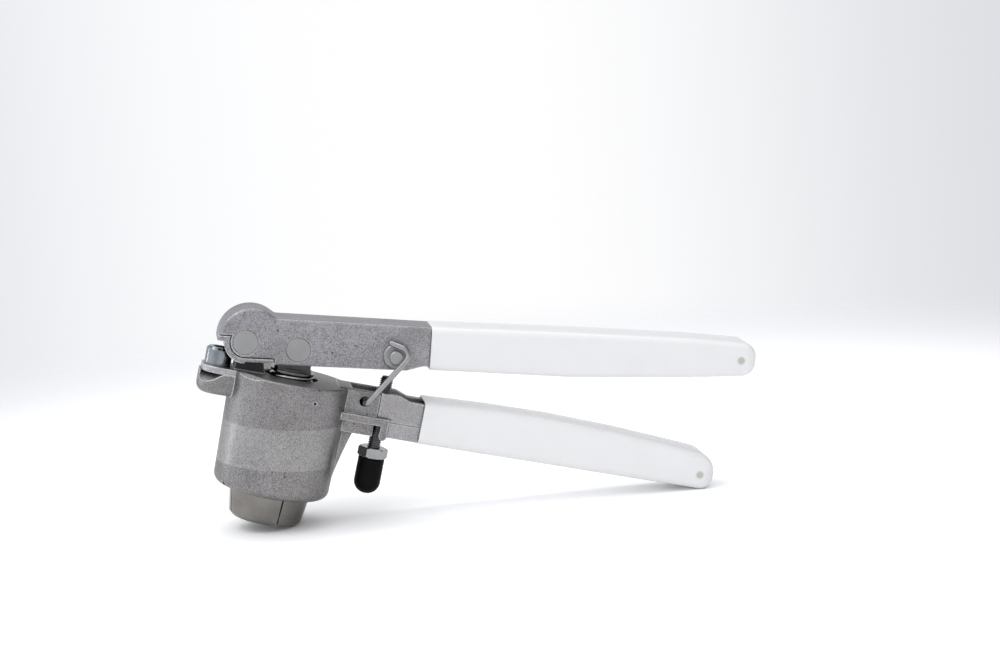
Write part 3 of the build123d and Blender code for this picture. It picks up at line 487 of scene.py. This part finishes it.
def grip_sleeve(name, top, low, corners, place, material):
    """Dipped sleeve: a rounded bar drawn to the outlines, its end closed, its mouth open."""
    start, end = top[0][0], top[-1][0]
    builder = bmesh.new()
    blank = (Matrix.Translation(((start + end) / 2, 0.0, 0.0))
             @ Matrix.Diagonal((end - start, GRIP_WIDTH, GRIP_BLANK, 1.0)))
    bmesh.ops.create_cube(builder, size=1.0, matrix=blank)
    lengthwise = [e for e in builder.edges if abs(e.verts[0].co.x - e.verts[1].co.x) > 1.0]
    bmesh.ops.bevel(builder, geom=lengthwise, offset=GRIP_EDGE, offset_type="OFFSET",
                    segments=6, profile=0.5, affect="EDGES", material=-1)
    ends = [f for f in builder.faces if abs(f.normal.x) > 0.9]
    bmesh.ops.delete(builder, geom=ends, context="FACES")
    longest = max(*corners, END_PLAN_R)
    count = int((end - longest - start) / GRIP_STATION)
    stations = [start + (end - longest - start) * i / count for i in range(1, count + 1)]
    stations += [end - longest + longest * math.sin(math.radians(a)) for a in range(8, 90, 8)]
    for x in stations:
        whole = builder.verts[:] + builder.edges[:] + builder.faces[:]
        bmesh.ops.bisect_plane(builder, geom=whole, dist=0.001, plane_co=(x, 0.0, 0.0),
                               plane_no=(1.0, 0.0, 0.0))
    for vertex in builder.verts:
        x, y, z = vertex.co
        high = height_at(top, x) - rounding(x, end, corners[0])
        deep = height_at(low, x) + rounding(x, end, corners[1])
        narrow = 1.0 - 2.0 * rounding(x, end, END_PLAN_R) / GRIP_WIDTH
        vertex.co = (x, y * narrow, (high + deep) / 2 + z / GRIP_BLANK * (high - deep))
    far = [e for e in builder.edges if e.is_boundary and e.verts[0].co.x > end - 0.01]
    bmesh.ops.contextual_create(builder, geom=far)
    rim = [e for e in builder.edges if e.is_boundary]
    middle = (height_at(top, start) + height_at(low, start)) / 2
    half = (height_at(top, start) - height_at(low, start)) / 2
    for inset, along in MOUTH_STEPS:
        made = bmesh.ops.extrude_edge_only(builder, edges=rim)["geom"]
        verts = [v for v in made if isinstance(v, bmesh.types.BMVert)]
        rim = [e for e in made if isinstance(e, bmesh.types.BMEdge) and e.is_boundary]
        for vertex in verts:
            vertex.co.y -= inset * vertex.co.y / (GRIP_WIDTH / 2)
            vertex.co.z -= inset * (vertex.co.z - middle) / half
            vertex.co.x += along
    lip = [e for e in builder.edges if len(e.link_faces) == 2
           and abs(e.verts[0].co.x - start) < 0.001 and abs(e.verts[1].co.x - start) < 0.001
           and e.calc_face_angle(0.0) > 1.0]
    bmesh.ops.bevel(builder, geom=lip, offset=MOUTH_ROUND, offset_type="OFFSET", segments=3,
                    profile=0.5, affect="EDGES", material=-1)
    return finished(name, builder, place, material)


def spun(builder, profile, centre_x, steps):
    """Full turn of a profile of radius and height pairs about an upright axis."""
    made = [builder.verts.new((centre_x + radius, 0.0, z)) for radius, z in profile]
    edges = [builder.edges.new(pair) for pair in zip(made, made[1:])]
    bmesh.ops.spin(builder, geom=made + edges, cent=(centre_x, 0.0, 0.0), axis=(0.0, 0.0, 1.0),
                   dvec=(0.0, 0.0, 0.0), angle=2 * math.pi, steps=steps, use_merge=True,
                   use_duplicate=False)


def stop_screw(material):
    """Threaded stop screw: a helical ridge wound round its root, with a chamfered tip."""
    builder = bmesh.new()
    ridge = ((THREAD_R, 0.0), (THREAD_R, CREST_HALF), (THREAD_ROOT, ROOT_START),
             (THREAD_ROOT, ROOT_END), (THREAD_R, PITCH - CREST_HALF), (THREAD_R, PITCH))
    made = [builder.verts.new((STOP_X + r, 0.0, THREAD_FOOT + z)) for r, z in ridge]
    edges = [builder.edges.new(pair) for pair in zip(made, made[1:])]
    bmesh.ops.spin(builder, geom=made + edges, cent=(STOP_X, 0.0, 0.0), axis=(0.0, 0.0, 1.0),
                   dvec=(0.0, 0.0, PITCH / THREAD_STEPS), angle=2 * math.pi * THREAD_TURNS,
                   steps=THREAD_STEPS * THREAD_TURNS, use_merge=False, use_duplicate=False)
    bmesh.ops.remove_doubles(builder, verts=builder.verts, dist=THREAD_MERGE)
    for vertex in builder.verts:
        beyond = max(THREAD_FOOT + PITCH - vertex.co.z, vertex.co.z - (TIP_Z - TIP_RUN_OUT))
        if beyond > 0:
            aside = Vector((vertex.co.x - STOP_X, vertex.co.y))
            least = THREAD_ROOT - TIP_CHAMFER
            keep = max(least, aside.length - beyond * TIP_TAPER) / aside.length
            vertex.co.x = STOP_X + aside.x * keep
            vertex.co.y = aside.y * keep
            vertex.co.z = min(vertex.co.z, TIP_Z - TIP_UNDER)
    spun(builder, ((0.0, CORE_FOOT), (THREAD_ROOT, CORE_FOOT),
                   (THREAD_ROOT, TIP_Z - TIP_CHAMFER_H), (THREAD_ROOT - TIP_CHAMFER, TIP_Z),
                   (0.0, TIP_Z)), STOP_X, THREAD_STEPS)
    bmesh.ops.remove_doubles(builder, verts=builder.verts, dist=MERGE)
    return finished("stop_screw_thread", builder, TOOL, material)


def soft_cap(material):
    """Soft dome cap pushed over the stop screw, with a faint bead below its mouth."""
    builder = bmesh.new()
    dome = [(CAP_R * math.cos(math.radians(a)),
             CAP_BOTTOM + CAP_DOME - CAP_DOME * math.sin(math.radians(a)))
            for a in range(0, 91, 9)]
    wall = [(radius, CAP_TOP - depth) for radius, depth in CAP_WALL]
    spun(builder, wall + dome, STOP_X, CAP_STEPS)
    bmesh.ops.remove_doubles(builder, verts=builder.verts, dist=MERGE)
    inner = [e for e in builder.edges if e.is_boundary]
    bmesh.ops.contextual_create(builder, geom=inner)
    return finished("soft_cap", builder, TOOL, material)


def coil_spring(material):
    """Return spring with closed end turns and its upper end left proud."""
    builder = bmesh.new()
    start = (Matrix.Rotation(math.radians(COIL_START_DEG), 4, "Z")
             @ Matrix.Translation((SPRING_R, 0.0, SPRING_Z0))
             @ Matrix.Rotation(math.pi / 2, 4, "X"))
    ring = bmesh.ops.create_circle(builder, cap_ends=False, radius=WIRE_R, segments=COIL_SIDES,
                                   matrix=start)["verts"]
    last = ring + list({e for v in ring for e in v.link_edges})
    active = (SPRING_Z1 - SPRING_Z0 - 2 * CLOSED_PITCH) / ACTIVE_TURNS
    for turns, pitch in ((1, CLOSED_PITCH), (ACTIVE_TURNS, active), (1, CLOSED_PITCH)):
        last = bmesh.ops.spin(
            builder, geom=last, cent=(0.0, 0.0, 0.0), axis=(0.0, 0.0, 1.0),
            dvec=(0.0, 0.0, pitch / COIL_STEPS), angle=2 * math.pi * turns,
            steps=COIL_STEPS * turns, use_merge=False, use_duplicate=False)["geom_last"]
    tip = [v for v in last if isinstance(v, bmesh.types.BMVert)]
    aside = Matrix.Rotation(math.radians(COIL_START_DEG), 3, "Z") @ Vector(COIL_TIP)
    bmesh.ops.translate(builder, vec=aside, verts=tip)
    bmesh.ops.remove_doubles(builder, verts=builder.verts, dist=MERGE)
    open_edges = [e for e in builder.edges if e.is_boundary]
    bmesh.ops.holes_fill(builder, edges=open_edges, sides=COIL_SIDES)
    return finished("return_coil", builder, TOOL, material)


def loop_step(builder, ring, shift):
    """Carries an open ring of edges on by a shift, with a wall behind it."""
    made = bmesh.ops.extrude_edge_only(builder, edges=ring)["geom"]
    verts = [v for v in made if isinstance(v, bmesh.types.BMVert)]
    bmesh.ops.translate(builder, vec=shift, verts=verts)
    return [e for e in made if isinstance(e, bmesh.types.BMEdge) and e.is_boundary]


def bent_wire(name, path, bends, radius, material):
    """Round wire along straight runs joined by true bends, its ends eased."""
    points = [Vector(p) for p in path]
    runs = [(b - a).normalized() for a, b in zip(points, points[1:])]
    builder = bmesh.new()
    start = Matrix.Translation(points[0]) @ runs[0].to_track_quat("Z", "Y").to_matrix().to_4x4()
    verts = bmesh.ops.create_circle(builder, cap_ends=False, radius=radius, segments=LATCH_SIDES,
                                    matrix=start)["verts"]
    ring = list({e for v in verts for e in v.link_edges})
    place = points[0]
    for corner, before, after, bend in zip(points[1:], runs, runs[1:], bends):
        angle = before.angle(after)
        tangent = corner - before * (bend * math.tan(angle / 2))
        ring = loop_step(builder, ring, tangent - place)
        inward = (after - before * before.dot(after)).normalized()
        geom = ring + list({v for e in ring for v in e.verts})
        last = bmesh.ops.spin(builder, geom=geom, cent=tangent + inward * bend,
                              axis=before.cross(after), dvec=(0.0, 0.0, 0.0), angle=angle,
                              steps=BEND_STEPS, use_merge=False,
                              use_duplicate=False)["geom_last"]
        ring = [e for e in last if isinstance(e, bmesh.types.BMEdge)]
        place = corner + after * (bend * math.tan(angle / 2))
    ring = loop_step(builder, ring, points[-1] - place)
    bmesh.ops.remove_doubles(builder, verts=builder.verts, dist=MERGE)
    open_edges = [e for e in builder.edges if e.is_boundary]
    caps = bmesh.ops.holes_fill(builder, edges=open_edges, sides=LATCH_SIDES)["faces"]
    rims = list({e for f in caps for e in f.edges})
    bmesh.ops.bevel(builder, geom=rims, offset=LATCH_END_ROUND, offset_type="OFFSET", segments=3,
                    profile=0.5, affect="EDGES", material=-1)
    return finished(name, builder, TOOL, material)


def pieces():
    """The modelled pieces, each in place of its plain solid."""
    upper = grip_sleeve("upper_sleeve", UPPER_TOP, UPPER_LOW, UPPER_CORNERS, LEVER,
                        MATERIALS["upper"])
    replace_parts(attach(upper, "upper_lever"), "upper_grip")
    lower = grip_sleeve("lower_sleeve", LOWER_TOP, LOWER_LOW, LOWER_CORNERS, TOOL,
                        MATERIALS["lower"])
    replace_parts(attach(lower, "frame"), "lower_grip")
    screw = stop_screw(MATERIALS["thread"])
    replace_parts(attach(screw, "stop_screw"), "adjusting_screw")
    cap = soft_cap(MATERIALS["black"])
    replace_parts(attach(cap, "stop_screw"), "screw_cap")
    latch = bent_wire("latch_wire", LATCH_PATH, LATCH_BENDS, LATCH_WIRE_R, MATERIALS["bright"])
    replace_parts(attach(latch, "latch"), "latch_hook")
    coil = coil_spring(MATERIALS["bright"])
    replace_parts(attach(coil, "frame"), "return_spring")
    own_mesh(coil)


def floor():
    """Flat square that the tool lies on."""
    builder = bmesh.new()
    bmesh.ops.create_grid(builder, x_segments=1, y_segments=1, size=FLOOR_HALF)
    mesh = bpy.data.meshes.new("floor")
    builder.to_mesh(mesh)
    builder.free()
    mesh.materials.append(floor_material())
    made = bpy.data.objects.new("floor", mesh)
    bpy.context.scene.collection.objects.link(made)


def area_lamp(name, place, target, size, power, colour):
    """Rectangular lamp that faces its target."""
    data = bpy.data.lights.new(name, "AREA")
    data.shape = "RECTANGLE"
    data.size, data.size_y = size
    data.energy = power
    data.color = colour
    lamp = bpy.data.objects.new(name, data)
    lamp.location = place
    aim = Vector(target) - Vector(place)
    lamp.rotation_mode = "QUATERNION"
    lamp.rotation_quaternion = aim.to_track_quat("-Z", "Y")
    bpy.context.scene.collection.objects.link(lamp)


def studio():
    """Soft lights, and a white tent that is darker at the right, behind and at the edges."""
    scene = bpy.context.scene
    scene.view_settings.view_transform = "Standard"
    world = bpy.data.worlds.new("studio")
    scene.world = world
    world.use_nodes = True
    g = Graph(world.node_tree)
    aside, depth, height = g.parts(g.node("TexCoord", out=0))
    backdrop = (aside - 0.10).size().step(0.05, 0.27, 1.0, 0.76)
    tent = aside.step(0.15, 0.9, 0.95, 0.42) * depth.step(-0.2, 0.7, 1.0, 0.74)
    tent = tent * height.step(0.25, 0.9, 1.0, 1.08)
    tent = tent * aside.step(-0.95, -0.35, 1.30, 1.0)
    above = height.step(-0.005, 0.10)
    tent = backdrop * (1.0 - above) + tent * above
    tint = g.mix(aside.step(-0.10, 0.12) * aside.step(0.12, 0.34, 1.0, 0.0),
                 (0.955, 0.965, 1.0, 1.0), (1.0, 1.0, 1.0, 1.0))
    g.surface(g.node("Background", {"Color": tint, "Strength": tent}), "World")
    for name, settings in LAMPS.items():
        area_lamp(name, *settings)


def camera():
    """Camera at the photograph's angle, with its roll and framing."""
    azimuth, elevation, roll = (math.radians(v) for v in (AZIMUTH, ELEVATION, ROLL))
    back = Vector((math.sin(azimuth) * math.cos(elevation),
                   -math.cos(azimuth) * math.cos(elevation), math.sin(elevation)))
    level = Vector((math.cos(azimuth), math.sin(azimuth), 0.0))
    upright = back.cross(level)
    right = level * math.cos(roll) + upright * math.sin(roll)
    up = upright * math.cos(roll) - level * math.sin(roll)
    aside = (FRAME_U - FRAME_W / 2) / (FOCAL * FRAME_W)
    above = -(FRAME_V - FRAME_H / 2) / (FOCAL * FRAME_W)
    place = MOUTH + (back - right * aside - up * above) * DISTANCE
    data = bpy.data.cameras.new("camera")
    data.sensor_fit = "HORIZONTAL"
    data.sensor_width = SENSOR
    data.lens = SENSOR * FOCAL
    data.clip_start = 0.01
    data.clip_end = 20.0
    made = bpy.data.objects.new("camera", data)
    turn = Matrix((right, up, back)).transposed().to_4x4()
    made.matrix_world = Matrix.Translation(place) @ turn
    bpy.context.scene.collection.objects.link(made)
    bpy.context.scene.camera = made


MATERIALS = paint_nodes()
pieces()
floor()
studio()
camera()
